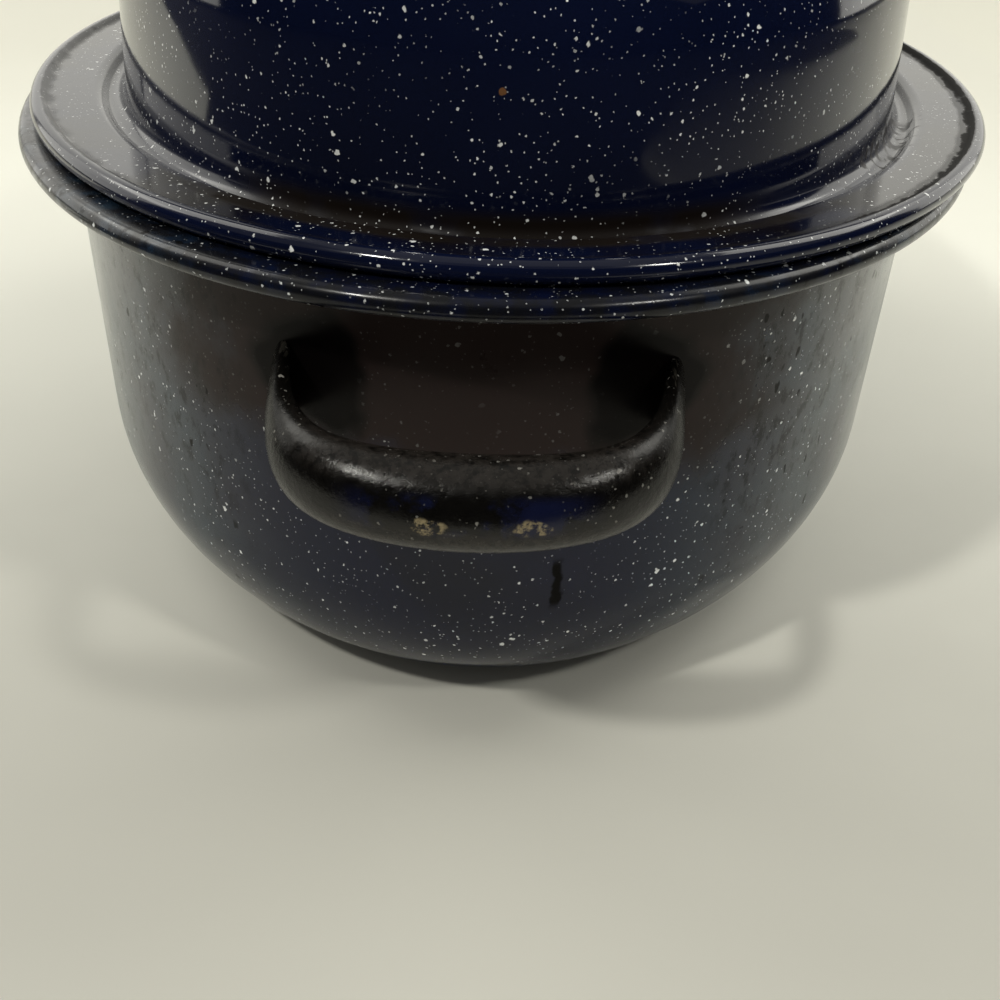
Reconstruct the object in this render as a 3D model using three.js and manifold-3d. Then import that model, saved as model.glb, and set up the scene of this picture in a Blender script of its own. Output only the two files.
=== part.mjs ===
// Oval covered roaster in porcelain-enamelled pressed steel, in millimetres.
// +Z is up, the long axis lies along Y, and the origin is the centre of the pan's flat bottom.
// The pan and the lid are one-piece pressings. A bent, hollow handle is welded to each end of the pan.
import * as THREE from 'three';
import Module from 'manifold-3d';

const wasm = await Module();
wasm.setup();
const { degToRad, lerp, smoothstep } = THREE.MathUtils;

// Sheet steel together with the enamel on both of its faces
const sheet = 1.2;

// Pan: sizes of its rim are taken at the outer edge of the curl
const rimHalfWidth = 140;
const rimHalfLength = 198;
const rimHeight = 121;
const ledgeWidth = 13;
const panDraft = degToRad(2);
const bottomRadius = 41;
const ledgeRadius = 5;
const panCurlRadius = 2.6;
const panCurlTurn = degToRad(260);

// Lid: its curl stands on the pan's ledge, and its locating step drops into the pan's mouth
const lidOverhangSides = 2;
const lidOverhangEnds = 0;
const lidPlay = 7.6;
const lidCurlRadius = 2.6;
const lidCurlTurn = degToRad(265);
const lidCurlLift = degToRad(48);
const lidCurlRoot = 2;
const stepDepth = 3.6;
const stepRadius = 2.5;
const stepSlope = degToRad(60);
const channelWidth = 0.2;
const footRadius = 4.2;
const domeDraft = degToRad(2);
const domeHeight = 79;
const shoulderRadius = 34;
const shoulderEndSlope = degToRad(9);
const crownRise = 9;

// The lid is loose: it lies slid over, towards +X and a little to +Y, by the play of its step in the mouth
const seatGap = 0.3;
const lidSlideTurn = degToRad(62);

// Handles: a channel bent to a bow, hollow towards the pan, with its ends welded to the wall
const handleBelowRim = 23.5;
const handleHeight = 19;
const footHeight = 17;
const footRise = 4;
const handleReach = 33;
const handleFootSpan = 83;
const handleArmLean = 3;
const handleArmReach = 28;
const handleGripSpan = 62;
const gripDepth = 9;
const footDepth = 3;
const footShare = 0.1;
const channelTopTurn = degToRad(122);
const channelBottomTurn = degToRad(100);
const weldGap = 0.3;

// Facets: round the oval, and in each bend
const ovalSteps = 48;
const bottomBendSteps = 8;
const smallBendSteps = 3;
const curlSteps = 6;
const shoulderSteps = 6;
const crownRings = [0.78, 0.52, 0.26];
const handleSteps = 26;
const channelSteps = 7;

const rightAngle = Math.PI / 2;
const lidHalfWidth = rimHalfWidth + lidOverhangSides;
const lidHalfLength = rimHalfLength + lidOverhangEnds;
const lidSlide = lidPlay - seatGap;

// A bend of a pressing's mid-line, seen in section: x is the inset from the rim's edge, z the height.
// side says where the lower face lies: 1 away from the bend's centre, -1 towards it.
function bend(centre, radius, from, to, side, steps) {
  const points = [];
  for (let i = 0; i <= steps; i += 1) {
    const angle = lerp(from, to, i / steps);
    const out = new THREE.Vector2(Math.cos(angle), Math.sin(angle));
    points.push({
      place: centre.clone().addScaledVector(out, radius),
      lower: out.clone().multiplyScalar(side),
    });
  }
  return points;
}

// One face of a pressing: the mid-line moved by a distance towards the lower face
function face(midLine, distance) {
  return midLine.map(({ place, lower, scale = 1 }) => ({
    inset: place.x + lower.x * distance,
    z: place.y + lower.y * distance,
    scale,
  }));
}

// Points round the oval, inset by the same distance everywhere, so a flange keeps an even width
function ovalRing(halfWidth, halfLength, { inset, z, scale }) {
  const ring = [];
  for (let i = 0; i < ovalSteps; i += 1) {
    const turn = (2 * Math.PI * i) / ovalSteps;
    const edge = new THREE.Vector2(halfWidth * Math.cos(turn), halfLength * Math.sin(turn));
    const out = new THREE.Vector2(halfLength * Math.cos(turn), halfWidth * Math.sin(turn)).normalize();
    edge.addScaledVector(out, -inset).multiplyScalar(scale);
    ring.push(new THREE.Vector3(edge.x, edge.y, z));
  }
  return ring;
}

// A closed skin over rings of equal count, drawn together to a point at each end
function skin(rings, startPoint, endPoint) {
  const count = rings[0].length;
  const points = [startPoint, ...rings.flat(), endPoint];
  const last = points.length - 1;
  const faces = [];
  for (let j = 0; j < count; j += 1) {
    const next = (j + 1) % count;
    faces.push(0, 1 + next, 1 + j);
    for (let i = 0; i + 1 < rings.length; i += 1) {
      const here = 1 + i * count;
      const there = here + count;
      faces.push(here + j, here + next, there + next);
      faces.push(here + j, there + next, there + j);
    }
    faces.push(last, last - count + j, last - count + next);
  }
  const geometry = new THREE.BufferGeometry().setFromPoints(points);
  geometry.setIndex(faces);
  geometry.computeVertexNormals();
  return geometry;
}

// A pressing: out along its lower face, round the sheet's edge and back along its upper face
function pressing(halfWidth, halfLength, midLine, poleHeight) {
  const lowerFace = face(midLine, sheet / 2);
  const upperFace = face(midLine, -sheet / 2).reverse();
  const rings = [...lowerFace, ...upperFace].map((line) => ovalRing(halfWidth, halfLength, line));
  const lowerPole = new THREE.Vector3(0, 0, poleHeight - sheet / 2);
  const upperPole = new THREE.Vector3(0, 0, poleHeight + sheet / 2);
  return skin(rings, lowerPole, upperPole);
}

// Inset of the pan's wall, at its mid-line, at a height
function panWallInset(z) {
  return ledgeWidth + sheet / 2 + (rimHeight - z) * Math.tan(panDraft);
}

// Flat bottom, turned up through a wide radius into the leaning wall
function panBottomBend() {
  const radius = bottomRadius - sheet / 2;
  const z = bottomRadius;
  const touch = z - radius * Math.sin(panDraft);
  const centre = new THREE.Vector2(panWallInset(touch) + radius * Math.cos(panDraft), z);
  return bend(centre, radius, 3 * rightAngle, 2 * rightAngle + panDraft, 1, bottomBendSteps);
}

// Centre of the bend at the pan's mouth, where the wall turns out into the ledge
function mouthCentre() {
  const z = rimHeight - sheet / 2 - ledgeRadius;
  const touch = z + ledgeRadius * Math.sin(panDraft);
  return new THREE.Vector2(panWallInset(touch) - ledgeRadius * Math.cos(panDraft), z);
}

// Wall turned out into the ledge, and the ledge's edge curled down and under
function panRim() {
  const turnOut = bend(mouthCentre(), ledgeRadius, panDraft, rightAngle, -1, smallBendSteps);
  const curlCentre = new THREE.Vector2(panCurlRadius, rimHeight - panCurlRadius);
  const curlEnd = rightAngle + panCurlTurn;
  const curl = bend(curlCentre, panCurlRadius - sheet / 2, rightAngle, curlEnd, -1, curlSteps);
  return [...turnOut, ...curl];
}

function panGeometry() {
  return pressing(rimHalfWidth, rimHalfLength, [...panBottomBend(), ...panRim()], sheet / 2);
}

// Inset of the lid's step at its foot, so that the lid can slide by its play before the step meets the mouth
function stepFootInset(footCentreHeight) {
  const mouth = mouthCentre();
  const touching = ledgeRadius + stepRadius + sheet;
  const above = rimHeight + seatGap + footCentreHeight - mouth.y;
  const beside = Math.sqrt(Math.max(0, touching ** 2 - above ** 2));
  return mouth.x + lidOverhangSides + beside + lidPlay;
}

// The lid's section, worked inwards from the curl, whose lowest point is at height 0
function lidMidLine() {
  const curlRadius = lidCurlRadius - sheet / 2;
  const curlCentre = new THREE.Vector2(lidCurlRadius, lidCurlRadius);
  const lift = new THREE.Vector2(Math.sin(lidCurlLift), Math.cos(lidCurlLift));
  const rootCentre = curlCentre.clone().addScaledVector(lift, curlRadius + lidCurlRoot);
  const flangeHeight = rootCentre.y - lidCurlRoot;

  const bendDrop = 2 * stepRadius * (1 - Math.cos(stepSlope));
  const slopeLength = Math.max(0, stepDepth - bendDrop) / Math.sin(stepSlope);
  const stepWidth = 2 * stepRadius * Math.sin(stepSlope) + slopeLength * Math.cos(stepSlope);
  const floorHeight = flangeHeight - bendDrop - slopeLength * Math.sin(stepSlope);
  const stepFootHeight = floorHeight + stepRadius;
  const stepFootCentre = new THREE.Vector2(stepFootInset(stepFootHeight), stepFootHeight);
  const stepTopCentre = new THREE.Vector2(stepFootCentre.x - stepWidth, flangeHeight - stepRadius);

  const footCentre = new THREE.Vector2(stepFootCentre.x + channelWidth, floorHeight + footRadius);
  const wallFoot = new THREE.Vector2(Math.cos(domeDraft), -Math.sin(domeDraft));
  wallFoot.multiplyScalar(footRadius).add(footCentre);

  const crownHeight = domeHeight - sheet / 2;
  const shoulderHeight = crownHeight - crownRise - shoulderRadius * Math.cos(shoulderEndSlope);
  const wallTop = shoulderHeight + shoulderRadius * Math.sin(domeDraft);
  const wallTopInset = wallFoot.x + (wallTop - wallFoot.y) * Math.tan(domeDraft);
  const shoulderCentre = new THREE.Vector2(
    wallTopInset + shoulderRadius * Math.cos(domeDraft),
    shoulderHeight,
  );
  const shoulderStart = rightAngle + shoulderEndSlope;
  const shoulderEnd = 2 * rightAngle - domeDraft;
  const shoulder = bend(shoulderCentre, shoulderRadius, shoulderStart, shoulderEnd, -1, shoulderSteps);

  const crownEdge = shoulder[0].place;
  const crown = crownRings.toReversed().map((scale) => ({
    place: new THREE.Vector2(crownEdge.x, crownEdge.y + crownRise * (1 - scale * scale)),
    lower: new THREE.Vector2(0, -1),
    scale,
  }));

  const down = 3 * rightAngle;
  const foot = bend(footCentre, footRadius, 4 * rightAngle - domeDraft, down, 1, smallBendSteps);
  const stepFoot = bend(stepFootCentre, stepRadius, down, down - stepSlope, 1, smallBendSteps);
  const stepTop = bend(stepTopCentre, stepRadius, rightAngle - stepSlope, rightAngle, -1, smallBendSteps);
  const root = bend(rootCentre, lidCurlRoot, down, down - lidCurlLift, 1, smallBendSteps);
  const curlStart = rightAngle - lidCurlLift;
  const curl = bend(curlCentre, curlRadius, curlStart, curlStart + lidCurlTurn, -1, curlSteps);
  return [...crown, ...shoulder, ...foot, ...stepFoot, ...stepTop, ...root.slice(0, -1), ...curl];
}

function lidGeometry() {
  return pressing(lidHalfWidth, lidHalfLength, lidMidLine(), domeHeight - sheet / 2);
}

// Half of the handle's bow seen from above: from inside the wall, out along an arm, to the grip's middle
function handleCurve() {
  const wallEnd = rimHalfLength - panWallInset(rimHeight - handleBelowRim - handleHeight / 2) + sheet / 2;
  const footX = handleFootSpan / 2;
  const wallHalfWidth = rimHalfWidth - rimHalfLength + wallEnd;
  const footY = wallEnd * Math.sqrt(1 - (footX / wallHalfWidth) ** 2);
  const foot = new THREE.Vector3(footX, -footY, 0);
  const arm = new THREE.Vector3(footX - handleArmLean, -(wallEnd + handleArmReach), 0);
  const grip = new THREE.Vector3(handleGripSpan / 2, -(wallEnd + handleReach), 0);
  const middle = new THREE.Vector3(0, grip.y, 0);
  const intoWall = foot.clone().sub(arm).setLength(gripDepth).add(foot);
  const flip = (point) => new THREE.Vector3(-point.x, point.y, point.z);

  const curve = new THREE.CurvePath();
  curve.add(new THREE.LineCurve3(flip(intoWall), flip(foot)));
  curve.add(new THREE.CubicBezierCurve3(flip(foot), flip(arm), flip(grip), middle));
  curve.add(new THREE.CubicBezierCurve3(middle, grip, arm, foot));
  curve.add(new THREE.LineCurve3(foot, intoWall));
  return curve;
}

// The handle's section: a half-round channel whose top edge is rolled back further than its lower edge
function channelSection(depth, height) {
  const outer = [];
  const inner = [];
  for (let i = 0; i <= channelSteps; i += 1) {
    const angle = lerp(-channelBottomTurn, channelTopTurn, i / channelSteps);
    const out = new THREE.Vector2(Math.cos(angle), Math.sin(angle));
    outer.push(new THREE.Vector2(out.x * depth, out.y * (height / 2)));
    inner.push(new THREE.Vector2(out.x * (depth - sheet), out.y * (height / 2 - sheet)));
  }
  return [...outer, ...inner.reverse()];
}

function handleBow() {
  const curve = handleCurve();
  const middle = rimHeight - handleBelowRim - handleHeight / 2;
  const rings = [];
  for (let i = 0; i <= handleSteps; i += 1) {
    const along = i / handleSteps;
    const place = curve.getPointAt(along);
    const tangent = curve.getTangentAt(along);
    const out = new THREE.Vector3(tangent.y, -tangent.x, 0).normalize();
    const fullness = smoothstep(Math.min(along, 1 - along), footShare, 0.5);
    const depth = lerp(footDepth, gripDepth, fullness);
    const height = lerp(footHeight, handleHeight, fullness);
    const rise = middle + lerp(footRise, 0, fullness);
    rings.push(channelSection(depth, height).map((point) => new THREE.Vector3(0, 0, rise + point.y)
      .addScaledVector(out, point.x)
      .add(place)));
  }
  return rings;
}

// A closed sweep whose two ends are capped across the hollow section
function sweep(rings) {
  const count = rings[0].length;
  const half = count / 2;
  const faces = [];
  for (let i = 0; i + 1 < rings.length; i += 1) {
    for (let j = 0; j < count; j += 1) {
      const next = (j + 1) % count;
      const here = i * count;
      const there = here + count;
      faces.push(here + j, there + next, here + next);
      faces.push(here + j, there + j, there + next);
    }
  }
  const end = (rings.length - 1) * count;
  for (let j = 0; j + 1 < half; j += 1) {
    const across = count - 1 - j;
    faces.push(j, j + 1, across);
    faces.push(j + 1, across - 1, across);
    faces.push(end + j, end + across, end + j + 1);
    faces.push(end + j + 1, end + across, end + across - 1);
  }
  const geometry = new THREE.BufferGeometry().setFromPoints(rings.flat());
  geometry.setIndex(faces);
  return geometry;
}

function solid(geometry) {
  const vertProperties = new Float32Array(geometry.getAttribute('position').array);
  const triVerts = new Uint32Array(geometry.getIndex().array);
  return new wasm.Manifold(new wasm.Mesh({ numProp: 3, vertProperties, triVerts }));
}

function geometryOf(body) {
  const mesh = body.getMesh();
  const geometry = new THREE.BufferGeometry();
  geometry.setAttribute('position', new THREE.BufferAttribute(mesh.vertProperties, 3));
  geometry.setIndex(new THREE.BufferAttribute(mesh.triVerts, 1));
  geometry.computeVertexNormals();
  return geometry;
}

// The pan's outside up to its ledge, grown by the weld gap: it trims the handle's ends to the wall
function panOutside() {
  const wallEnd = panRim()[0];
  const rings = face([...panBottomBend(), wallEnd], sheet / 2 + weldGap)
    .map((line) => ovalRing(rimHalfWidth, rimHalfLength, line));
  const below = new THREE.Vector3(0, 0, -weldGap);
  const above = new THREE.Vector3(0, 0, wallEnd.place.y);
  return solid(skin(rings, below, above));
}

function handleGeometry() {
  return geometryOf(solid(sweep(handleBow())).subtract(panOutside()));
}

function enamel(color, roughness) {
  return new THREE.MeshStandardMaterial({ color, roughness, metalness: 0 });
}

const pan = new THREE.Mesh(panGeometry(), enamel(0x1b2030, 0.3));
pan.name = 'pan';

const lid = new THREE.Mesh(lidGeometry(), enamel(0x0d1126, 0.12));
lid.name = 'lid';
lid.position.set(
  lidSlide * Math.cos(lidSlideTurn),
  lidSlide * Math.sin(lidSlideTurn),
  rimHeight + seatGap,
);

const frontHandle = new THREE.Mesh(handleGeometry(), enamel(0x1c1b1c, 0.4));
frontHandle.name = 'front_handle';

const rearHandle = new THREE.Mesh(handleGeometry(), enamel(0x1c1b1c, 0.4));
rearHandle.name = 'rear_handle';
rearHandle.rotation.z = Math.PI;

const roaster = new THREE.Group();
roaster.add(pan, lid, frontHandle, rearHandle);

export default roaster;
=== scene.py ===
"""Oval covered roaster in flecked porcelain enamel: a pan, a loose lid and two welded handles."""
import math

import bpy
import numpy as np
from mathutils import Matrix, Vector
from mathutils.kdtree import KDTree


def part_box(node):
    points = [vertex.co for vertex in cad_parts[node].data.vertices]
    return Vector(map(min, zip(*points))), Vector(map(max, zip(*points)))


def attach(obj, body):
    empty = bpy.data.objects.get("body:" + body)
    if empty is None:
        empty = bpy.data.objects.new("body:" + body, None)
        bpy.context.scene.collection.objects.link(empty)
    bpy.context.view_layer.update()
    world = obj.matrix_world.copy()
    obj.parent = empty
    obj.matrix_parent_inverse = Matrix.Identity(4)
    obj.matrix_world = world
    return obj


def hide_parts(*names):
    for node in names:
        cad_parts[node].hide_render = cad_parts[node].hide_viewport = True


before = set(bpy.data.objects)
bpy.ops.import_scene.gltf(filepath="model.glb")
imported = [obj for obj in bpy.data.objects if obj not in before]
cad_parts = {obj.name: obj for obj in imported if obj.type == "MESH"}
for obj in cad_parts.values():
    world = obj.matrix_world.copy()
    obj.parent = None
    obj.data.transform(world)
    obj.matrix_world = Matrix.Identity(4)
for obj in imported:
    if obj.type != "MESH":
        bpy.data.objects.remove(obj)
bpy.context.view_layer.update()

MM = 0.001
SHEET = 1.2 * MM                    # steel with enamel on both faces

# The camera stands in front of a short end and looks down on it; it is turned a little about its own axis
CAMERA_PLACE = Vector((5.7, -417.9, 210.3)) * MM
CAMERA_DOWN = math.radians(31.07)
CAMERA_ROLL = math.radians(2.38)
CAMERA_LENS = 45.0                  # on a 36 mm sensor

# Pan: insets are counted inwards from the outer edge of its rim
_, PAN_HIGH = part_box("pan")
RIM_HALF_WIDTH = PAN_HIGH.x
RIM_HALF_LENGTH = PAN_HIGH.y
RIM_HEIGHT = PAN_HIGH.z
LEDGE_WIDTH = 13 * MM
LEDGE_RADIUS = 5 * MM
PAN_DRAFT = math.radians(2)
PAN_BOTTOM_RADIUS = 41 * MM
PAN_CURL_RADIUS = 2.6 * MM
PAN_CURL_TURN = math.radians(260)

# Lid: insets are counted inwards from the outer edge of its curl, heights from the curl's lowest point
LID_LOW, LID_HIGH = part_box("lid")
LID_HALF_WIDTH = (LID_HIGH.x - LID_LOW.x) / 2
LID_HALF_LENGTH = (LID_HIGH.y - LID_LOW.y) / 2
LID_CENTRE = (LID_LOW + LID_HIGH) / 2
SEAT_GAP = 0.3 * MM                 # between the pan's rim and the lid's curl
LID_SEAT = RIM_HEIGHT + SEAT_GAP
LID_CURL_RADIUS = 2.6 * MM
LID_CURL_TURN = math.radians(265)
LID_CURL_LIFT = math.radians(48)
LID_CURL_ROOT = 2 * MM
STEP_DEPTH = 3.6 * MM
STEP_RADIUS = 2.5 * MM
STEP_SLOPE = math.radians(60)
STEP_FOOT_INSET = 21.63 * MM
CHANNEL_WIDTH = 0.2 * MM
DOME_FOOT_RADIUS = 4.2 * MM
DOME_DRAFT = math.radians(2)
SHOULDER_RADIUS = 34 * MM
SHOULDER_END_SLOPE = math.radians(9)
CROWN_RISE = 9 * MM

# Handles: a channel bent to a bow, hollow towards the pan
HANDLE_LOW, HANDLE_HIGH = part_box("front_handle")
GRIP_HEIGHT = 19 * MM
GRIP_DEPTH = 9 * MM
FOOT_HEIGHT = 17 * MM
FOOT_DEPTH = 3 * MM
FOOT_RISE = 4 * MM
FOOT_SHARE = 0.1
FOOT_SPAN = 83 * MM
ARM_LEAN = 3 * MM
ARM_REACH = 28 * MM
GRIP_SPAN = 62 * MM
HANDLE_REACH = 33 * MM
CHANNEL_TOP_TURN = math.radians(122)
CHANNEL_BOTTOM_TURN = math.radians(100)
HANDLE_MIDDLE = HANDLE_LOW.z + GRIP_HEIGHT / 2
WELD_DEPTH = 0.3 * MM               # the feet reach this far into the wall's face

# Fineness of the meshes
OVAL_SEGMENTS = 240
OUTLINE_POINTS = 4000
CROWN_RINGS = 10
PATH_RESOLUTION = 48
LENGTH_RESOLUTION = 256
HANDLE_STEPS = 72
ARC_SEGMENTS = 180
MERGE_DISTANCE = 0.01 * MM
CREASE_ANGLE = math.radians(50)
ANGLE_SLACK = 1e-4

QUARTER = math.pi / 2


# Modelling in edit mode

def deselect():
    bpy.ops.object.select_all(action="DESELECT")


def pick(*pieces):
    """Selects these pieces and nothing else; the last one becomes active."""
    deselect()
    for piece in pieces:
        piece.select_set(True)
    bpy.context.view_layer.objects.active = pieces[-1]


def edit(piece):
    pick(piece)
    bpy.ops.object.mode_set(mode="EDIT")


def leave_edit():
    bpy.ops.object.mode_set(mode="OBJECT")


def apply_modifier(piece, kind, **settings):
    pick(piece)
    modifier = piece.modifiers.new(kind.title(), kind)
    for name, value in settings.items():
        setattr(modifier, name, value)
    bpy.ops.object.modifier_apply(modifier=modifier.name)


def bend(centre, radius, start, end, steps):
    """Points (inset, height) along a bend of a pressing's section."""
    angles = np.linspace(start, end, steps + 1)
    return [(centre[0] + radius * math.cos(a), centre[1] + radius * math.sin(a)) for a in angles]


def oval_blank(name, half_width, half_length, centre, section_start):
    """A flat oval blank at the section's first point, left in edit mode with its face selected."""
    inset, height = section_start
    deselect()
    bpy.ops.mesh.primitive_circle_add(vertices=OVAL_SEGMENTS, radius=1, fill_type="NGON")
    blank = bpy.context.object
    blank.name = name
    edit(blank)
    bpy.ops.mesh.select_all(action="SELECT")
    bpy.ops.transform.resize(value=(half_width, half_length, 1))
    bpy.ops.transform.translate(value=(centre.x, centre.y, height))
    if inset > 0:
        bpy.ops.mesh.inset(thickness=inset, depth=0, use_even_offset=True)
        bpy.ops.mesh.select_all(action="INVERT")
        bpy.ops.mesh.delete(type="VERT")
        bpy.ops.mesh.select_all(action="SELECT")
    return blank


def press(section):
    """Draws the selected blank along the section: each step is an even inset that is pushed up or down."""
    for (inset, height), (next_inset, next_height) in zip(section, section[1:]):
        bpy.ops.mesh.inset(thickness=next_inset - inset, depth=next_height - height, use_even_offset=True)


def close_middle(centre, height, rings):
    """Closes the selected oval face in rings drawn to its middle; each ring is its (scale, rise)."""
    scale_now, rise_now = 1.0, 0.0
    for scale, rise in rings:
        bpy.ops.mesh.extrude_region_move(TRANSFORM_OT_translate={"value": (0, 0, rise - rise_now)})
        middle = (centre.x, centre.y, height + rise)
        if scale > 0:
            shrink = scale / scale_now
            bpy.ops.transform.resize(value=(shrink, shrink, 1), center_override=middle)
        else:
            bpy.ops.mesh.merge(type="CENTER")
        scale_now, rise_now = scale, rise


def finish_sheet(piece, edge):
    """Joins the rolled edge to its pressing, gives the sheet its thickness and smooths it."""
    pick(edge, piece)
    bpy.ops.object.join()
    edit(piece)
    bpy.ops.mesh.select_all(action="SELECT")
    bpy.ops.mesh.remove_doubles(threshold=MERGE_DISTANCE)
    bpy.ops.mesh.normals_make_consistent(inside=False)
    leave_edit()
    apply_modifier(piece, "SOLIDIFY", thickness=SHEET, offset=0, use_even_offset=True)
    bpy.ops.object.shade_smooth()
    return piece


def rolled_edge(half_width, half_length, centre, section):
    """The part of a curl below its widest ring, open at its inner end."""
    edge = oval_blank("rolled_edge", half_width, half_length, centre, section[0])
    press(section)
    bpy.ops.mesh.delete(type="ONLY_FACE")
    leave_edit()
    return edge


# The pan

def pan_wall_inset(height):
    """Inset of the middle of the pan's wall at a height."""
    return LEDGE_WIDTH + SHEET / 2 + (RIM_HEIGHT - height) * math.tan(PAN_DRAFT)


def make_pan():
    """One pressing: a curl at the rim, a flat ledge, a leaning wall and a flat bottom."""
    curl_centre = (PAN_CURL_RADIUS, RIM_HEIGHT - PAN_CURL_RADIUS)
    curl_radius = PAN_CURL_RADIUS - SHEET / 2
    over = bend(curl_centre, curl_radius, 2 * QUARTER, QUARTER, steps=8)
    under = bend(curl_centre, curl_radius, 2 * QUARTER, QUARTER + PAN_CURL_TURN, steps=14)

    mouth_height = RIM_HEIGHT - SHEET / 2 - LEDGE_RADIUS
    mouth_touch = mouth_height + LEDGE_RADIUS * math.sin(PAN_DRAFT)
    mouth_inset = pan_wall_inset(mouth_touch) - LEDGE_RADIUS * math.cos(PAN_DRAFT)
    mouth = bend((mouth_inset, mouth_height), LEDGE_RADIUS, QUARTER, PAN_DRAFT, steps=10)

    radius = PAN_BOTTOM_RADIUS - SHEET / 2
    wall_foot = PAN_BOTTOM_RADIUS - radius * math.sin(PAN_DRAFT)
    bottom_inset = pan_wall_inset(wall_foot) + radius * math.cos(PAN_DRAFT)
    bottom = bend((bottom_inset, PAN_BOTTOM_RADIUS), radius, 2 * QUARTER + PAN_DRAFT, 3 * QUARTER, steps=18)
    wall = [(pan_wall_inset(z), z) for z in np.linspace(mouth_touch, wall_foot, num=10)[1:-1]]

    centre = Vector((0, 0, 0))
    edge = rolled_edge(RIM_HALF_WIDTH, RIM_HALF_LENGTH, centre, under)
    section = [*over, *mouth, *wall, *bottom]
    pan = oval_blank("pan_shell", RIM_HALF_WIDTH, RIM_HALF_LENGTH, centre, section[0])
    press(section)
    close_middle(centre, section[-1][1], [(0.7, 0), (0.4, 0), (0.15, 0), (0, 0)])
    leave_edit()
    return finish_sheet(pan, edge)


# The lid

def make_lid():
    """One pressing: a curl, a flange, a step that drops inside the pan's mouth, and the dome."""
    curl_centre = (LID_CURL_RADIUS, LID_CURL_RADIUS)
    curl_radius = LID_CURL_RADIUS - SHEET / 2
    curl_start = QUARTER - LID_CURL_LIFT
    over = bend(curl_centre, curl_radius, 2 * QUARTER, curl_start, steps=10)
    under = bend(curl_centre, curl_radius, 2 * QUARTER, curl_start + LID_CURL_TURN, steps=12)

    root_reach = curl_radius + LID_CURL_ROOT
    root_centre = (
        curl_centre[0] + root_reach * math.sin(LID_CURL_LIFT),
        curl_centre[1] + root_reach * math.cos(LID_CURL_LIFT),
    )
    root = bend(root_centre, LID_CURL_ROOT, 3 * QUARTER - LID_CURL_LIFT, 3 * QUARTER, steps=6)
    flange_height = root_centre[1] - LID_CURL_ROOT

    bend_drop = 2 * STEP_RADIUS * (1 - math.cos(STEP_SLOPE))
    slope_length = (STEP_DEPTH - bend_drop) / math.sin(STEP_SLOPE)
    step_width = 2 * STEP_RADIUS * math.sin(STEP_SLOPE) + slope_length * math.cos(STEP_SLOPE)
    floor_height = flange_height - STEP_DEPTH
    step_top_centre = (STEP_FOOT_INSET - step_width, flange_height - STEP_RADIUS)
    step_top = bend(step_top_centre, STEP_RADIUS, QUARTER, QUARTER - STEP_SLOPE, steps=6)
    step_foot_centre = (STEP_FOOT_INSET, floor_height + STEP_RADIUS)
    step_foot = bend(step_foot_centre, STEP_RADIUS, 3 * QUARTER - STEP_SLOPE, 3 * QUARTER, steps=6)
    foot_centre = (STEP_FOOT_INSET + CHANNEL_WIDTH, floor_height + DOME_FOOT_RADIUS)
    foot = bend(foot_centre, DOME_FOOT_RADIUS, 3 * QUARTER, 4 * QUARTER - DOME_DRAFT, steps=10)

    dome_height = LID_HIGH.z - LID_SEAT - SHEET / 2
    shoulder_height = dome_height - CROWN_RISE - SHOULDER_RADIUS * math.cos(SHOULDER_END_SLOPE)
    wall_top = shoulder_height + SHOULDER_RADIUS * math.sin(DOME_DRAFT)
    foot_inset, foot_top = foot[-1]
    wall = [
        (foot_inset + (z - foot_top) * math.tan(DOME_DRAFT), z)
        for z in np.linspace(foot_top, wall_top, num=8)[1:]
    ]
    shoulder_centre = (wall[-1][0] + SHOULDER_RADIUS * math.cos(DOME_DRAFT), shoulder_height)
    shoulder = bend(
        shoulder_centre, SHOULDER_RADIUS, 2 * QUARTER - DOME_DRAFT, QUARTER + SHOULDER_END_SLOPE, steps=20
    )

    def seated(points):
        return [(inset, height + LID_SEAT) for inset, height in points]

    edge = rolled_edge(LID_HALF_WIDTH, LID_HALF_LENGTH, LID_CENTRE, seated(under))
    section = seated([*over, *root[1:], *step_top, *step_foot, *foot[1:], *wall, *shoulder[1:]])
    lid = oval_blank("lid_shell", LID_HALF_WIDTH, LID_HALF_LENGTH, LID_CENTRE, section[0])
    press(section)
    crown_scales = [1 - ring / CROWN_RINGS for ring in range(1, CROWN_RINGS + 1)]
    crown = [(scale, CROWN_RISE * (1 - scale * scale)) for scale in crown_scales]
    close_middle(LID_CENTRE, section[-1][1], crown)
    leave_edit()
    return finish_sheet(lid, edge)


# The handles

def handle_path():
    """The bow seen from above, along the grip's inner edge: out of the wall, round the grip and back."""
    wall_end = -HANDLE_LOW.y - GRIP_DEPTH - HANDLE_REACH
    wall_half_width = RIM_HALF_WIDTH - RIM_HALF_LENGTH + wall_end
    foot_x = FOOT_SPAN / 2
    foot = Vector((foot_x, -wall_end * math.sqrt(1 - (foot_x / wall_half_width) ** 2), 0))
    arm = Vector((foot_x - ARM_LEAN, -wall_end - ARM_REACH, 0))
    grip = Vector((GRIP_SPAN / 2, -wall_end - HANDLE_REACH, 0))
    middle = Vector((0, grip.y, 0))
    root = foot + (foot - arm).normalized() * GRIP_DEPTH

    def flip(point):
        return Vector((-point.x, point.y, point.z))

    deselect()
    bpy.ops.curve.primitive_bezier_curve_add()
    path = bpy.context.object
    path.data.dimensions = "2D"
    path.data.resolution_u = PATH_RESOLUTION
    half_root = (root + foot) / 2
    stations = [
        (flip(root), flip(root), flip(half_root)),
        (flip(foot), flip(half_root), flip(arm)),
        (middle, flip(grip), grip),
        (foot, arm, half_root),
        (root, half_root, root),
    ]
    points = path.data.splines[0].bezier_points
    points.add(len(stations) - len(points))
    for point, (place, before, after) in zip(points, stations):
        point.handle_left_type = point.handle_right_type = "FREE"
        point.co, point.handle_left, point.handle_right = place, before, after
    return path


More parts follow.
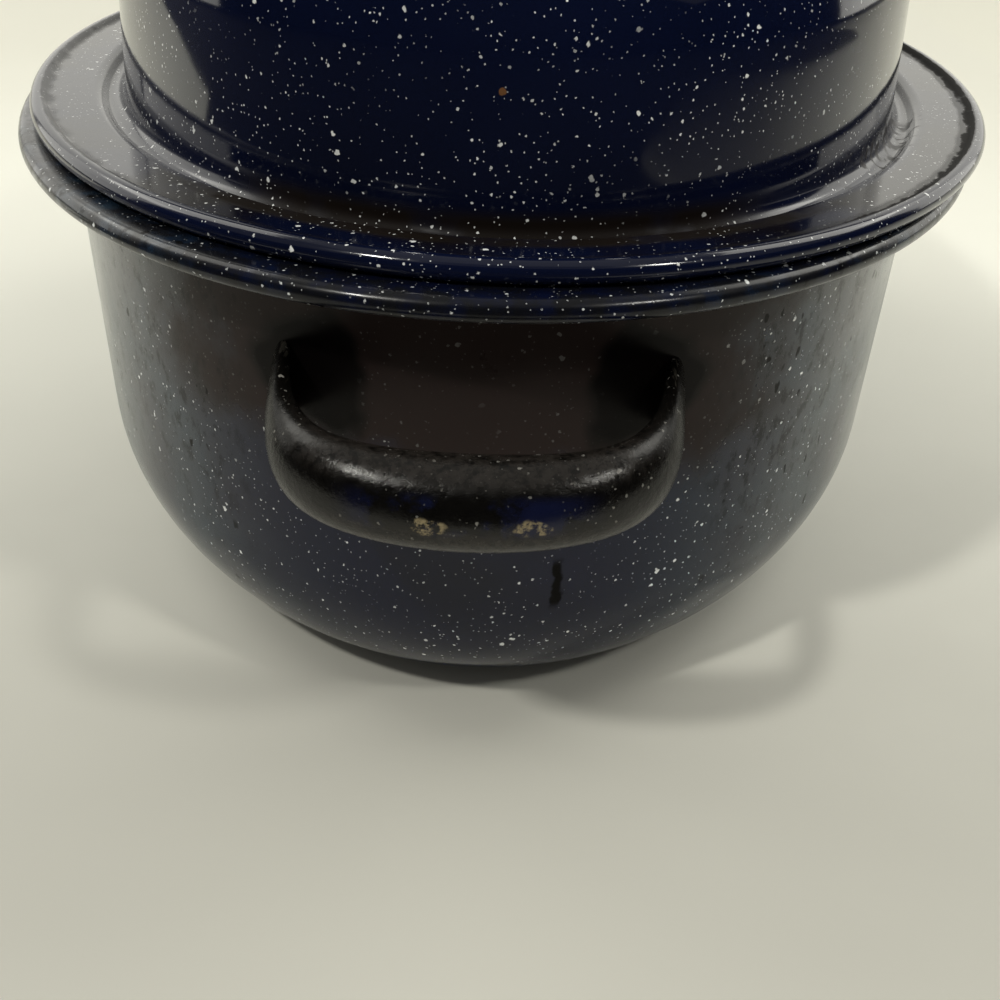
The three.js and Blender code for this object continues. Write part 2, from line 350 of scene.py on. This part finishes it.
def wall_cutter():
    """The pan's outside at the height of the handles, one weld depth inside the wall's face."""
    top, bottom = HANDLE_HIGH.z + GRIP_DEPTH, HANDLE_LOW.z - GRIP_DEPTH
    bite = WELD_DEPTH - SHEET / 2
    start = (pan_wall_inset(top) + bite, top)
    cutter = oval_blank("wall_cutter", RIM_HALF_WIDTH, RIM_HALF_LENGTH, Vector(), start)
    bpy.ops.mesh.extrude_region_move(TRANSFORM_OT_translate={"value": (0, 0, bottom - top)})
    draw_in = pan_wall_inset(bottom) - pan_wall_inset(top)
    narrower = 1 - draw_in / (RIM_HALF_WIDTH - pan_wall_inset(top))
    shorter = 1 - draw_in / (RIM_HALF_LENGTH - pan_wall_inset(top))
    bpy.ops.transform.resize(value=(narrower, shorter, 1), center_override=(0, 0, bottom))
    bpy.ops.mesh.select_all(action="SELECT")
    bpy.ops.mesh.normals_make_consistent(inside=False)
    leave_edit()
    return cutter


def channel_arc(depth, height, middle):
    """The handle's section as an open arc across the bar, bulging to -Y, left in edit mode."""
    deselect()
    bpy.ops.mesh.primitive_circle_add(vertices=ARC_SEGMENTS, radius=1, rotation=(0, QUARTER, 0))
    arc = bpy.context.object
    bpy.ops.object.transform_apply(location=True, rotation=True, scale=True)
    edit(arc)
    bpy.ops.mesh.select_all(action="DESELECT")
    leave_edit()
    turns = [math.atan2(v.co.z, -v.co.y) for v in arc.data.vertices]
    lowest, highest = -CHANNEL_BOTTOM_TURN - ANGLE_SLACK, CHANNEL_TOP_TURN + ANGLE_SLACK
    for vertex, turn in zip(arc.data.vertices, turns):
        vertex.select = not lowest < turn < highest
    edit(arc)
    bpy.ops.mesh.select_mode(type="VERT")
    bpy.ops.mesh.delete(type="VERT")
    bpy.ops.mesh.select_all(action="SELECT")
    bpy.ops.transform.resize(value=(1, depth, height / 2), center_override=(0, 0, 0))
    bpy.ops.transform.translate(value=(0, 0, middle))
    return arc


def smooth_share(value, low, high):
    """0 up to low, 1 from high on, with a smooth rise between them."""
    share = min(1, max(0, (value - low) / (high - low)))
    return share * share * (3 - 2 * share)


def make_handle():
    """The bow: a channel drawn out as a straight bar, bent along the path and trimmed to the wall."""
    path = handle_path()
    length = path.data.splines[0].calc_length(resolution=LENGTH_RESOLUTION)

    def section_at(step):
        along = step / HANDLE_STEPS
        fullness = smooth_share(min(along, 1 - along), FOOT_SHARE, 0.5)
        depth = FOOT_DEPTH + (GRIP_DEPTH - FOOT_DEPTH) * fullness
        height = FOOT_HEIGHT + (GRIP_HEIGHT - FOOT_HEIGHT) * fullness
        return depth, height, HANDLE_MIDDLE + FOOT_RISE * (1 - fullness)

    depth, height, middle = section_at(0)
    bar = channel_arc(depth, height, middle)
    for step in range(1, HANDLE_STEPS + 1):
        next_depth, next_height, next_middle = section_at(step)
        bpy.ops.mesh.extrude_edges_move(
            TRANSFORM_OT_translate={"value": (length / HANDLE_STEPS, 0, next_middle - middle)}
        )
        bpy.ops.transform.resize(
            value=(1, next_depth / depth, next_height / height),
            center_override=(length * step / HANDLE_STEPS, 0, next_middle),
        )
        depth, height, middle = next_depth, next_height, next_middle
    bpy.ops.mesh.select_all(action="SELECT")
    bpy.ops.mesh.normals_make_consistent(inside=False)
    leave_edit()
    bar.name = "front_handle_bow"
    apply_modifier(bar, "SOLIDIFY", thickness=SHEET, offset=-1, use_even_offset=True)
    apply_modifier(bar, "CURVE", object=path, deform_axis="POS_X")
    cutter = wall_cutter()
    apply_modifier(bar, "BOOLEAN", operation="DIFFERENCE", object=cutter, solver="MANIFOLD")
    for tool in (path, cutter):
        bpy.data.objects.remove(tool)
    pick(bar)
    bpy.ops.object.shade_smooth_by_angle(angle=CREASE_ANGLE)
    return bar


def make_rear_handle(front):
    """A copy of the front handle, turned to the far end."""
    pick(front)
    bpy.ops.object.duplicate(linked=False)
    rear = bpy.context.object
    rear.name = "rear_handle_bow"
    rear.data.transform(Matrix.Rotation(math.pi, 4, "Z"))
    return rear


# Materials

SMOOTH = {"interpolation_type": "SMOOTHSTEP"}
COLOUR = {"data_type": "RGBA"}
TIMES = {"operation": "MULTIPLY"}
TIMES_PLUS = {"operation": "MULTIPLY_ADD"}
GREATER = {"operation": "MAXIMUM"}
BUMP_STRENGTH = 1
BUMP_FILTER = 0.1
FLECK_KINDS = ((7.0, 0.64), (3.0, 0.37), (1.5, 0.22))   # spacing and radius in millimetres


def linear(hex_colour):
    """An sRGB hex colour as linear red, green, blue and alpha."""
    channels = [int(hex_colour[i:i + 2], 16) / 255 for i in (0, 2, 4)]
    return tuple(c / 12.92 if c <= 0.04045 else ((c + 0.055) / 1.055) ** 2.4 for c in channels) + (1,)


def per_metre(size_mm):
    """Scale of a pattern whose features are this many millimetres apart."""
    return 1000 / size_mm


def fill(tree, socket, value):
    """Links an input to another node's output, or sets it to a plain value."""
    if isinstance(value, bpy.types.NodeSocket):
        tree.links.new(value, socket)
    else:
        socket.default_value = value


def add(tree, kind, *inputs, **settings):
    """Adds a node with its settings, fills its inputs in their order, and gives its first output."""
    node = tree.nodes.new("ShaderNode" + kind)
    for name, value in settings.items():
        setattr(node, name, value)
    for socket, value in zip([s for s in node.inputs if s.enabled], inputs):
        fill(tree, socket, value)
    return next(s for s in node.outputs if s.enabled)


def new_material(name):
    """A new material, its node tree and the Object coordinates in it."""
    material = bpy.data.materials.new(name)
    material.use_nodes = True
    tree = material.node_tree
    place = add(tree, "TexCoord").node.outputs["Object"]
    return material, tree, place


def surface(tree, **inputs):
    """Fills inputs of the material's shader; an underscore stands for a space in an input's name."""
    shader = tree.nodes["Principled BSDF"]
    for name, value in inputs.items():
        fill(tree, shader.inputs[name.replace("_", " ")], value)


def flecks(tree, place, spacing_mm, radius_mm):
    """Enamel flecks: ragged blots of many sizes up to the radius."""
    wobble = add(tree, "TexNoise", place, per_metre(1.6 * radius_mm), 1).node.outputs["Color"]
    reach = 1.8 * radius_mm * MM
    moved = add(tree, "VectorMath", wobble, (reach, reach, reach), place, **TIMES_PLUS)
    away = add(tree, "TexVoronoi", moved, per_metre(spacing_mm))
    edge = radius_mm / spacing_mm
    return add(tree, "MapRange", away, edge, edge * 0.7, **SMOOTH)


def fleck_colour(tree, place, ground, shares, white):
    """Lays large, middling and fine flecks over the ground. shares gives how plainly each kind shows."""
    shown = 0.0
    for (spacing, radius), share in zip(FLECK_KINDS, shares):
        kind = add(tree, "Math", flecks(tree, place, spacing, radius), share, **TIMES)
        shown = add(tree, "Math", shown, kind, **GREATER)
    clouds = add(tree, "TexNoise", place, per_metre(28), 3)
    uneven = add(tree, "MapRange", clouds, 0.3, 0.52, **SMOOTH)
    shown = add(tree, "Math", shown, uneven, **TIMES)
    return add(tree, "Mix", shown, ground, linear(white), **COLOUR)


def band(tree, value, start, end, soft):
    """1 between start and end, falling to 0 over the soft edge outside them."""
    rise = add(tree, "MapRange", value, start - soft, start, **SMOOTH)
    fall = add(tree, "MapRange", value, end + soft, end, **SMOOTH)
    return add(tree, "Math", rise, fall, **TIMES)


def spot(tree, place, centre_mm, radius_mm):
    """1 within the radius of a point on the piece, with a soft, ragged edge."""
    away = add(tree, "VectorMath", place, Vector(centre_mm) * MM, operation="DISTANCE")
    ragged = add(tree, "TexNoise", place, per_metre(radius_mm))
    rough = add(tree, "Math", ragged, radius_mm * MM, away, **TIMES_PLUS)
    return add(tree, "MapRange", rough, 1.5 * radius_mm * MM, 1.2 * radius_mm * MM, **SMOOTH)


def lid_enamel():
    """Porcelain enamel fused on steel: deep navy glass with white flecks and a mirror gloss.

    Grease is burnt on along the rolled edge and at the dome's foot, and dulls it there.
    """
    material, tree, place = new_material("navy_flecked_enamel")
    inset = add(tree, "Attribute", attribute_name="inset").node.outputs["Fac"]
    x, y, z = add(tree, "SeparateXYZ", place).node.outputs
    tone = add(tree, "TexNoise", place, per_metre(60))
    ground = add(tree, "Mix", tone, linear("070B1B"), linear("0C1432"), **COLOUR)
    stains = add(tree, "TexNoise", place, per_metre(45), 3)
    stained = add(tree, "MapRange", stains, 0.38, 0.55, **SMOOTH)
    browned = add(tree, "Math", band(tree, inset, 5 * MM, 15 * MM, 2.5 * MM), stained, **TIMES)
    ground = add(tree, "Mix", browned, ground, linear("130F0C"), **COLOUR)
    patches = add(tree, "TexNoise", place, per_metre(14), 3)
    foot_stain = band(tree, inset, 14 * MM, 29 * MM, 3 * MM)
    for limit in (
        add(tree, "MapRange", patches, 0.3, 0.5, 0.6, 0.95, **SMOOTH),
        add(tree, "MapRange", y, -135 * MM, -155 * MM, **SMOOTH),
        add(tree, "MapRange", z, LID_SEAT + 8 * MM, LID_SEAT + 4 * MM, **SMOOTH),
    ):
        foot_stain = add(tree, "Math", foot_stain, limit, **TIMES)
    ground = add(tree, "Mix", foot_stain, ground, linear("17110C"), **COLOUR)
    flecked = fleck_colour(tree, place, ground, (1.0, 0.9, 0.75), "F6F8F8")
    chip = spot(tree, place, (2.9, -165.2, 151.9), 0.9)
    chipped = add(tree, "Mix", chip, flecked, linear("6E4C31"), **COLOUR)

    curl_side = add(tree, "MapRange", inset, 2.4 * MM, 3.6 * MM, **SMOOTH)
    flange_side = add(tree, "MapRange", inset, 9.5 * MM, 3.8 * MM, **SMOOTH)
    root_line = add(tree, "Math", curl_side, flange_side, **TIMES)
    heavier = add(tree, "MapRange", x, -60 * MM, 90 * MM, 0.44, 0.9)
    dirt = add(tree, "Math", root_line, heavier, **TIMES)
    clouds = add(tree, "TexNoise", place, per_metre(8), 3)
    cloudy = add(tree, "Math", clouds, 0.6, dirt, **TIMES_PLUS)
    haze = add(tree, "MapRange", cloudy, 0.38, 0.75, 0, 0.5, **SMOOTH)
    along_edge = add(tree, "VectorMath", place, (1, 0.4, 1), **TIMES)
    grains = add(tree, "TexNoise", along_edge, per_metre(3.6), 3, 0.6)
    grainy = add(tree, "Math", grains, 1.1, dirt, **TIMES_PLUS)
    blots = add(tree, "MapRange", grainy, 0.95, 1.35, **SMOOTH)
    grease = add(tree, "Math", haze, blots, **GREATER)

    swirl = add(tree, "TexNoise", place, per_metre(16), 3, 0.5, 2, 2.5)
    smear = band(tree, inset, 19 * MM, 26 * MM, 3 * MM)
    for limit in (
        add(tree, "MapRange", swirl, 0.47, 0.56, **SMOOTH),
        band(tree, y, -112 * MM, -58 * MM, 12 * MM),
        add(tree, "MapRange", x, 60 * MM, 90 * MM, **SMOOTH),
        add(tree, "MapRange", z, LID_SEAT + 8 * MM, LID_SEAT + 5 * MM, **SMOOTH),
    ):
        smear = add(tree, "Math", smear, limit, **TIMES)
    thin_smear = add(tree, "Math", smear, 0.7, **TIMES)
    soiled = add(tree, "Mix", thin_smear, chipped, linear("2B2622"), **COLOUR)
    colour = add(tree, "Mix", grease, soiled, linear("110E0C"), **COLOUR)

    ripple = add(tree, "TexNoise", place, per_metre(20))
    gloss = add(tree, "MapRange", ripple, 0, 1, 0.05, 0.1)
    smear_film = add(tree, "Math", smear, 0.6, **TIMES)
    film = add(tree, "Math", grease, smear_film, **GREATER)
    film = add(tree, "Math", film, foot_stain, **GREATER)
    in_channel = add(tree, "MapRange", z, LID_SEAT + 7 * MM, LID_SEAT + 3 * MM, 0, 0.06, **SMOOTH)
    dull_film = add(tree, "Math", film, 0.5, **TIMES)
    dull = add(tree, "Math", dull_film, in_channel, **GREATER)
    roughness = add(tree, "Math", gloss, dull, operation="ADD")
    shine = add(tree, "MapRange", film, 0, 1, 0.5, 0.06)
    waves = add(tree, "TexNoise", place, per_metre(14))
    relief = add(tree, "Bump", BUMP_STRENGTH, 0.03 * MM, BUMP_FILTER, waves)
    surface(tree, Base_Color=colour, Roughness=roughness, Specular_IOR_Level=shine, Normal=relief)
    return material


def pan_enamel():
    """The same enamel dulled by use: a grey-blue film, dark pits, and brown burnt on below the rim. The
    black at the handles' feet is partly burnt soot and partly painted shade where the arms meet the wall
    under the rim.
    """
    material, tree, place = new_material("worn_flecked_enamel")
    x, y, height = add(tree, "SeparateXYZ", place).node.outputs
    side = add(tree, "Math", x, operation="ABSOLUTE")
    patchy = add(tree, "TexNoise", place, per_metre(30), 5, 0.6)
    off_end = add(tree, "MapRange", side, 20 * MM, 110 * MM, **SMOOTH)
    clouded = add(tree, "MapRange", patchy, 0.3, 0.7, **SMOOTH)
    film = add(tree, "Math", off_end, clouded, **TIMES)
    from_middle = add(tree, "Math", y, operation="ABSOLUTE")
    wear = add(tree, "MapRange", from_middle, 30 * MM, 90 * MM, 0.4, 1, **SMOOTH)
    film = add(tree, "Math", film, wear, **TIMES)
    ground = add(tree, "Mix", film, linear("0A1029"), linear("263A47"), **COLOUR)
    at_rim = add(tree, "MapRange", height, 114 * MM, 116 * MM, **SMOOTH)
    soil = add(tree, "TexNoise", place, per_metre(7), 5, 0.65)
    soiled = add(tree, "MapRange", soil, 0.32, 0.6, **SMOOTH)
    dark_rim = add(tree, "Math", at_rim, soiled, **TIMES)
    ground = add(tree, "Mix", dark_rim, ground, linear("0F1015"), **COLOUR)
    flecked = fleck_colour(tree, place, ground, (1.0, 0.75, 0.4), "EEF1F2")

    ragged_side = add(tree, "Math", patchy, 60 * MM, side, **TIMES_PLUS)
    ragged_height = add(tree, "Math", patchy, 40 * MM, height, **TIMES_PLUS)
    burnt = add(tree, "MapRange", ragged_side, 110 * MM, 88 * MM, **SMOOTH)
    for limit in (
        add(tree, "MapRange", ragged_height, 88 * MM, 102 * MM, **SMOOTH),
        add(tree, "MapRange", height, 117 * MM, 115 * MM, **SMOOTH),
    ):
        burnt = add(tree, "Math", burnt, limit, **TIMES)
    thin_burnt = add(tree, "Math", burnt, 0.9, **TIMES)
    browned = add(tree, "Mix", thin_burnt, flecked, linear("2A201C"), **COLOUR)
    # Black at the handles' feet: burnt soot, and painted shade where the arms meet the wall under the rim
    folded = add(tree, "VectorMath", place, operation="ABSOLUTE")
    soot_and_foot_shade = add(tree, "MapRange", spot(tree, folded, (36, 177, 97), 17), 0, 1.2, **SMOOTH)
    browned = add(tree, "Mix", soot_and_foot_shade, browned, linear("060505"), **COLOUR)

    upright = add(tree, "VectorMath", place, (1, 1, 0.65), **TIMES)
    in_patches = add(tree, "MapRange", patchy, 0.4, 0.5, **SMOOTH)
    pits = add(tree, "Math", flecks(tree, upright, 6.5, 1.0), in_patches, **TIMES)
    smudge = add(tree, "TexNoise", upright, per_metre(4.5), 6, 0.75)
    smudged = add(tree, "MapRange", smudge, 0.5, 0.62, 0, 0.7, **SMOOTH)
    upper_wall = add(tree, "MapRange", height, 20 * MM, 70 * MM, **SMOOTH)
    smudges = add(tree, "Math", smudged, upper_wall, **TIMES)
    pits = add(tree, "Math", pits, smudges, **GREATER)
    on_side = add(tree, "MapRange", side, 45 * MM, 65 * MM, **SMOOTH)
    pits = add(tree, "Math", pits, on_side, **TIMES)
    pits = add(tree, "Math", pits, wear, **TIMES)

    wavering = add(tree, "TexNoise", place, per_metre(4), 3)
    wandering_x = add(tree, "Math", wavering, 4 * MM, x, **TIMES_PLUS)
    drip = band(tree, wandering_x, 20.8 * MM, 22.2 * MM, 0.7 * MM)
    for limit in (
        add(tree, "MapRange", y, 0, -10 * MM, **SMOOTH),
        band(tree, height, 40 * MM, 50 * MM, 3 * MM),
    ):
        drip = add(tree, "Math", drip, limit, **TIMES)
    pits = add(tree, "Math", pits, drip, **GREATER)
    colour = add(tree, "Mix", pits, browned, linear("090808"), **COLOUR)

    wall_gloss = add(tree, "MapRange", patchy, 0.3, 0.7, 0.1, 0.22)
    gloss = add(tree, "Math", dark_rim, 0.09, wall_gloss, **TIMES_PLUS)
    roughness = add(tree, "Math", burnt, 0.16, gloss, **TIMES_PLUS)
    soot = add(tree, "Math", pits, soot_and_foot_shade, **GREATER)
    for stain, share in ((burnt, 0.8), (dark_rim, 0.3)):
        sooty = add(tree, "Math", stain, share, **TIMES)
        soot = add(tree, "Math", soot, sooty, **GREATER)
    clean = add(tree, "MapRange", side, 40 * MM, 110 * MM, 0.36, 0.58)
    shine = add(tree, "MapRange", soot, 0, 1, clean, 0.08)
    pitting = add(tree, "TexNoise", place, per_metre(2.5), 3)
    relief = add(tree, "Bump", BUMP_STRENGTH, 0.02 * MM, BUMP_FILTER, pitting)
    surface(tree, Base_Color=colour, Roughness=roughness, Specular_IOR_Level=shine, Normal=relief)
    return material


def handle_enamel():
    """Enamel rubbed black and brown by hands and oven, navy in its middle, scratched along the bow. Its
    lower half and the middle of its top are paler: partly a rubbed film, partly painted sheen, a painted
    highlight on the top and a painted reflection of the floor on the underside.
    """
    material, tree, place = new_material("rubbed_flecked_enamel")
    x, _, height = add(tree, "SeparateXYZ", place).node.outputs
    side = add(tree, "Math", x, operation="ABSOLUTE")
    patchy = add(tree, "TexNoise", place, per_metre(12), 5, 0.65)
    fine = add(tree, "TexNoise", place, per_metre(2.2), 5, 0.7)
    navy = band(tree, height, HANDLE_MIDDLE - 1 * MM, HANDLE_MIDDLE + 4 * MM, 2.5 * MM)
    for limit in (
        add(tree, "MapRange", side, 27 * MM, 15 * MM, **SMOOTH),
        add(tree, "MapRange", patchy, 0.42, 0.56, **SMOOTH),
    ):
        navy = add(tree, "Math", navy, limit, **TIMES)
    ground = add(tree, "Mix", navy, linear("0B0A09"), linear("0F1430"), **COLOUR)
    flecked = fleck_colour(tree, place, ground, (0.5, 0.3, 0.12), "B9B7B0")

    # Paler film on the lower half and the top's middle: rubbed wear, plus a painted highlight on the top
    # and a painted floor reflection on the underside
    low = add(tree, "MapRange", height, HANDLE_MIDDLE + 1 * MM, HANDLE_MIDDLE - 5 * MM, **SMOOTH)
    high = add(tree, "MapRange", height, HANDLE_MIDDLE + 5.5 * MM, HANDLE_MIDDLE + 8.5 * MM, **SMOOTH)
    in_middle = add(tree, "MapRange", side, 40 * MM, 26 * MM, 0, 0.6, **SMOOTH)
    top = add(tree, "Math", high, in_middle, **TIMES)
    wear_and_sheen = add(tree, "Math", low, top, **GREATER)
    in_grain = add(tree, "MapRange", fine, 0.32, 0.6, **SMOOTH)
    wear_and_sheen = add(tree, "Math", wear_and_sheen, in_grain, **TIMES)
    film_and_sheen = add(tree, "Mix", wear_and_sheen, flecked, linear("2F2B28"), **COLOUR)

    grip_grain = add(tree, "VectorMath", place, (0.12, 1, 1), **TIMES)
    arm_grain = add(tree, "VectorMath", place, (1, 0.12, 1), **TIMES)
    on_arm = add(tree, "MapRange", side, 30 * MM, 40 * MM, **SMOOTH)
    grain = add(tree, "Mix", on_arm, grip_grain, arm_grain, data_type="VECTOR")
    streaks = add(tree, "TexNoise", grain, per_metre(1.3), 3, 0.6)
    scratches = add(tree, "MapRange", streaks, 0.58, 0.68, 0, 0.09, **SMOOTH)
    rubbed_edge = add(tree, "Math", low, on_arm, **GREATER)
    scratches = add(tree, "Math", scratches, rubbed_edge, **TIMES)
    scratched = add(tree, "Mix", scratches, film_and_sheen, linear("8F8A80"), **COLOUR)
    drawn_out = add(tree, "VectorMath", place, (0.5, 1, 1), **TIMES)
    left_spot = spot(tree, drawn_out, (-3.6, -225.4, 87.8), 2)
    right_spot = spot(tree, drawn_out, (6, -225, 87.8), 2)
    gold = add(tree, "Math", left_spot, right_spot, **GREATER)
    worn_through = add(tree, "MapRange", fine, 0.46, 0.6, **SMOOTH)
    gold = add(tree, "Math", gold, worn_through, **TIMES)
    colour = add(tree, "Mix", gold, scratched, linear("8C7F62"), **COLOUR)

    roughness = add(tree, "MapRange", fine, 0.3, 0.7, 0.1, 0.3)
    low_film = add(tree, "Math", low, 0.4, **TIMES)
    rubbed = add(tree, "Math", low_film, on_arm, **GREATER)
    shine = add(tree, "MapRange", rubbed, 0, 1, 0.35, 0.03)
    relief = add(tree, "Bump", BUMP_STRENGTH, 0.15 * MM, BUMP_FILTER, fine)
    surface(tree, Base_Color=colour, Roughness=roughness, Specular_IOR_Level=shine, Normal=relief)
    return material


def mark_inset(piece, half_width, half_length, centre):
    """Stores each vertex's distance from the oval edge, for bands that follow the rim."""
    outline = KDTree(OUTLINE_POINTS)
    for i in range(OUTLINE_POINTS):
        turn = 2 * math.pi * i / OUTLINE_POINTS
        point = (centre.x + half_width * math.cos(turn), centre.y + half_length * math.sin(turn), 0)
        outline.insert(point, i)
    outline.balance()
    insets = [outline.find((v.co.x, v.co.y, 0))[2] for v in piece.data.vertices]
    piece.data.attributes.new("inset", "FLOAT", "POINT").data.foreach_set("value", insets)


pan = make_pan()
lid = make_lid()
mark_inset(lid, LID_HALF_WIDTH, LID_HALF_LENGTH, LID_CENTRE)
front_handle = make_handle()
rear_handle = make_rear_handle(front_handle)

handle_finish = handle_enamel()
for piece, body, node, slot, finish in (
    (pan, "pan", "pan", "pan_enamel", pan_enamel()),
    (lid, "lid", "lid", "lid_enamel", lid_enamel()),
    (front_handle, "pan", "front_handle", "handle_enamel", handle_finish),
    (rear_handle, "pan", "rear_handle", "handle_enamel", handle_finish),
):
    piece.data.materials.clear()
    piece.data.materials.append(finish)
    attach(piece, body)
    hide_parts(node)


# Floor, light and camera

FLOOR_SIZE = 8
FLAG_LIFT = 0.002                   # of the black flags above the floor; the graded one lies half as high
FLAG_HEIGHT = 1.8
LAMP_COLOUR = "FFFDF4"


def floor_colour(tree, place):
    """Off-white with faint clouds; greyer near the camera, painted shade where the front of the floor gets
    less light, and a little greyer far behind the roaster.
    """
    y = add(tree, "SeparateXYZ", place).node.outputs["Y"]
    clouds = add(tree, "TexNoise", place, per_metre(90), 3)
    depth = add(tree, "Math", clouds, 0.1, y, **TIMES_PLUS)
    # Painted shade: the floor greys towards the camera, where less light falls
    front_shade = add(tree, "MapRange", depth, -0.2, 0.12, **SMOOTH)
    colour = add(tree, "Mix", front_shade, linear("CFCEC5"), linear("F2F2E8"), **COLOUR)
    far = add(tree, "MapRange", depth, 0.15, 0.7, **SMOOTH)
    return add(tree, "Mix", far, colour, linear("E0DFD3"), **COLOUR)


def plain_floor():
    """A matt pale floor, wide enough to fill the view and the reflections."""
    material, tree, place = new_material("matt_pale_floor")
    surface(tree, Base_Color=floor_colour(tree, place), Roughness=0.8)
    deselect()
    bpy.ops.mesh.primitive_plane_add(size=FLOOR_SIZE, location=(0, 0, 0))
    floor = bpy.context.object
    floor.name = "studio_floor"
    floor.data.materials.append(material)


def flag(name, material, placed):
    """A studio flag that shows only in reflections: a square metre, stretched and placed by a matrix."""
    deselect()
    bpy.ops.mesh.primitive_plane_add(size=1)
    card = bpy.context.object
    card.name = name
    card.data.transform(placed)
    card.visible_camera = False
    card.visible_diffuse = False
    card.visible_shadow = False
    card.data.materials.append(material)


def graded_flag():
    """A flag on the floor at the right that darkens outwards, so that the sheen there falls off softly."""
    material, tree, place = new_material("graded_flag_cloth")
    x, y, _ = add(tree, "SeparateXYZ", place).node.outputs
    aslant = add(tree, "Math", x, y, operation="SUBTRACT")
    falling_off = add(tree, "MapRange", aslant, 0.1, 1.4)
    far_right = add(tree, "MapRange", x, 0.42, 0.58, **SMOOTH)
    shade = add(tree, "Math", falling_off, far_right, **TIMES)
    colour = add(tree, "Mix", shade, floor_colour(tree, place), linear("2A2926"), **COLOUR)
    surface(tree, Base_Color=colour, Roughness=0.8)
    lying = Matrix.Translation((2.2, 0, FLAG_LIFT / 2)) @ Matrix.Diagonal((3.6, FLOOR_SIZE, 1, 1))
    flag("graded_flag", material, lying)


def dark_flags():
    """Black flags lying and standing round the roaster: they keep the enamel dark and its gloss crisp."""
    material, tree, place = new_material("black_flag_cloth")
    clouds = add(tree, "TexNoise", place, per_metre(200))
    colour = add(tree, "Mix", clouds, linear("0E0D0C"), linear("171412"), **COLOUR)
    surface(tree, Base_Color=colour, Roughness=0.9)
    for left, right, front, back in (
        (-4, 0.5, -2, -0.39),
        (0.5, 4, -2, -0.6),
        (-0.74, -0.36, -0.39, 0.05),
        (1.0, 4, -0.6, 0.5),
    ):
        middle = Matrix.Translation(((left + right) / 2, (front + back) / 2, FLAG_LIFT))
        flag("black_flag", material, middle @ Matrix.Diagonal((right - left, back - front, 1, 1)))
    corner = Matrix.Translation((-0.74, 0.05, FLAG_LIFT)) @ Matrix.Rotation(math.radians(34), 4, "Z")
    flag("black_flag", material, corner @ Matrix.Diagonal((4, 4, 1, 1)) @ Matrix.Translation((-0.5, 0, 0)))
    front_side = Matrix.Translation((0, -2, FLAG_HEIGHT / 2)) @ Matrix.Rotation(QUARTER, 4, "X")
    flag("black_flag", material, front_side @ Matrix.Diagonal((FLOOR_SIZE, FLAG_HEIGHT, 1, 1)))
    for x in (-FLOOR_SIZE / 2, FLOOR_SIZE / 2):
        long_side = Matrix.Translation((x, 0, FLAG_HEIGHT / 2)) @ Matrix.Rotation(QUARTER, 4, "Y")
        flag("black_flag", material, long_side @ Matrix.Diagonal((FLAG_HEIGHT, 4, 1, 1)))


def soft_light(name, place, aim, size, watts):
    """A rectangular area light that faces its aim."""
    lamp = bpy.data.lights.new(name, "AREA")
    lamp.shape = "RECTANGLE"
    lamp.size, lamp.size_y = size
    lamp.energy = watts
    lamp.color = linear(LAMP_COLOUR)[:3]
    light = bpy.data.objects.new(name, lamp)
    light.location = place
    light.rotation_euler = (Vector(aim) - Vector(place)).to_track_quat("-Z", "Y").to_euler()
    bpy.context.collection.objects.link(light)


plain_floor()
graded_flag()
dark_flags()
soft_light("lamp_left", (-0.83, -1.08, 1.53), (0, -0.1, 0.1), (0.12, 0.12), 12)
soft_light("lamp_right", (1.15, -1.05, 1.53), (0, -0.1, 0.1), (0.2, 0.2), 8)
soft_light("back_panel", (0, 1.9, 0.85), (0, 0, 0.7), (3.4, 1.6), 17)
soft_light("left_panel", (-1.8, 0.95, 0.8), (0, 0.6, 0.5), (1.6, 1.5), 11)
soft_light("right_panel", (1.8, 1.3, 0.8), (0, 0.9, 0.5), (1.2, 1.5), 9)
soft_light("back_left", (-1.0, 0.4, 1.1), (-0.45, 0.15, 0), (0.8, 0.8), 5.6)
soft_light("back_right", (1.0, 0.4, 1.1), (0.45, 0.15, 0), (0.8, 0.8), 6.6)
soft_light("top_panel", (0, 0, 2.2), (0, 0, 0), (2.4, 2.4), 4)

world = bpy.data.worlds.new("soft_fill")
world.use_nodes = True
background = world.node_tree.nodes["Background"]
background.inputs["Color"].default_value = linear("EDEBE4")
background.inputs["Strength"].default_value = 0.18
scene = bpy.context.scene
scene.world = world
scene.view_settings.view_transform = "Standard"

camera_data = bpy.data.cameras.new("camera")
camera_data.lens = CAMERA_LENS
camera_data.clip_start = 0.01
camera = bpy.data.objects.new("camera", camera_data)
camera.location = CAMERA_PLACE
turned = Matrix.Rotation(QUARTER - CAMERA_DOWN, 3, "X") @ Matrix.Rotation(CAMERA_ROLL, 3, "Z")
camera.rotation_euler = turned.to_euler()
bpy.context.collection.objects.link(camera)
scene.camera = camera
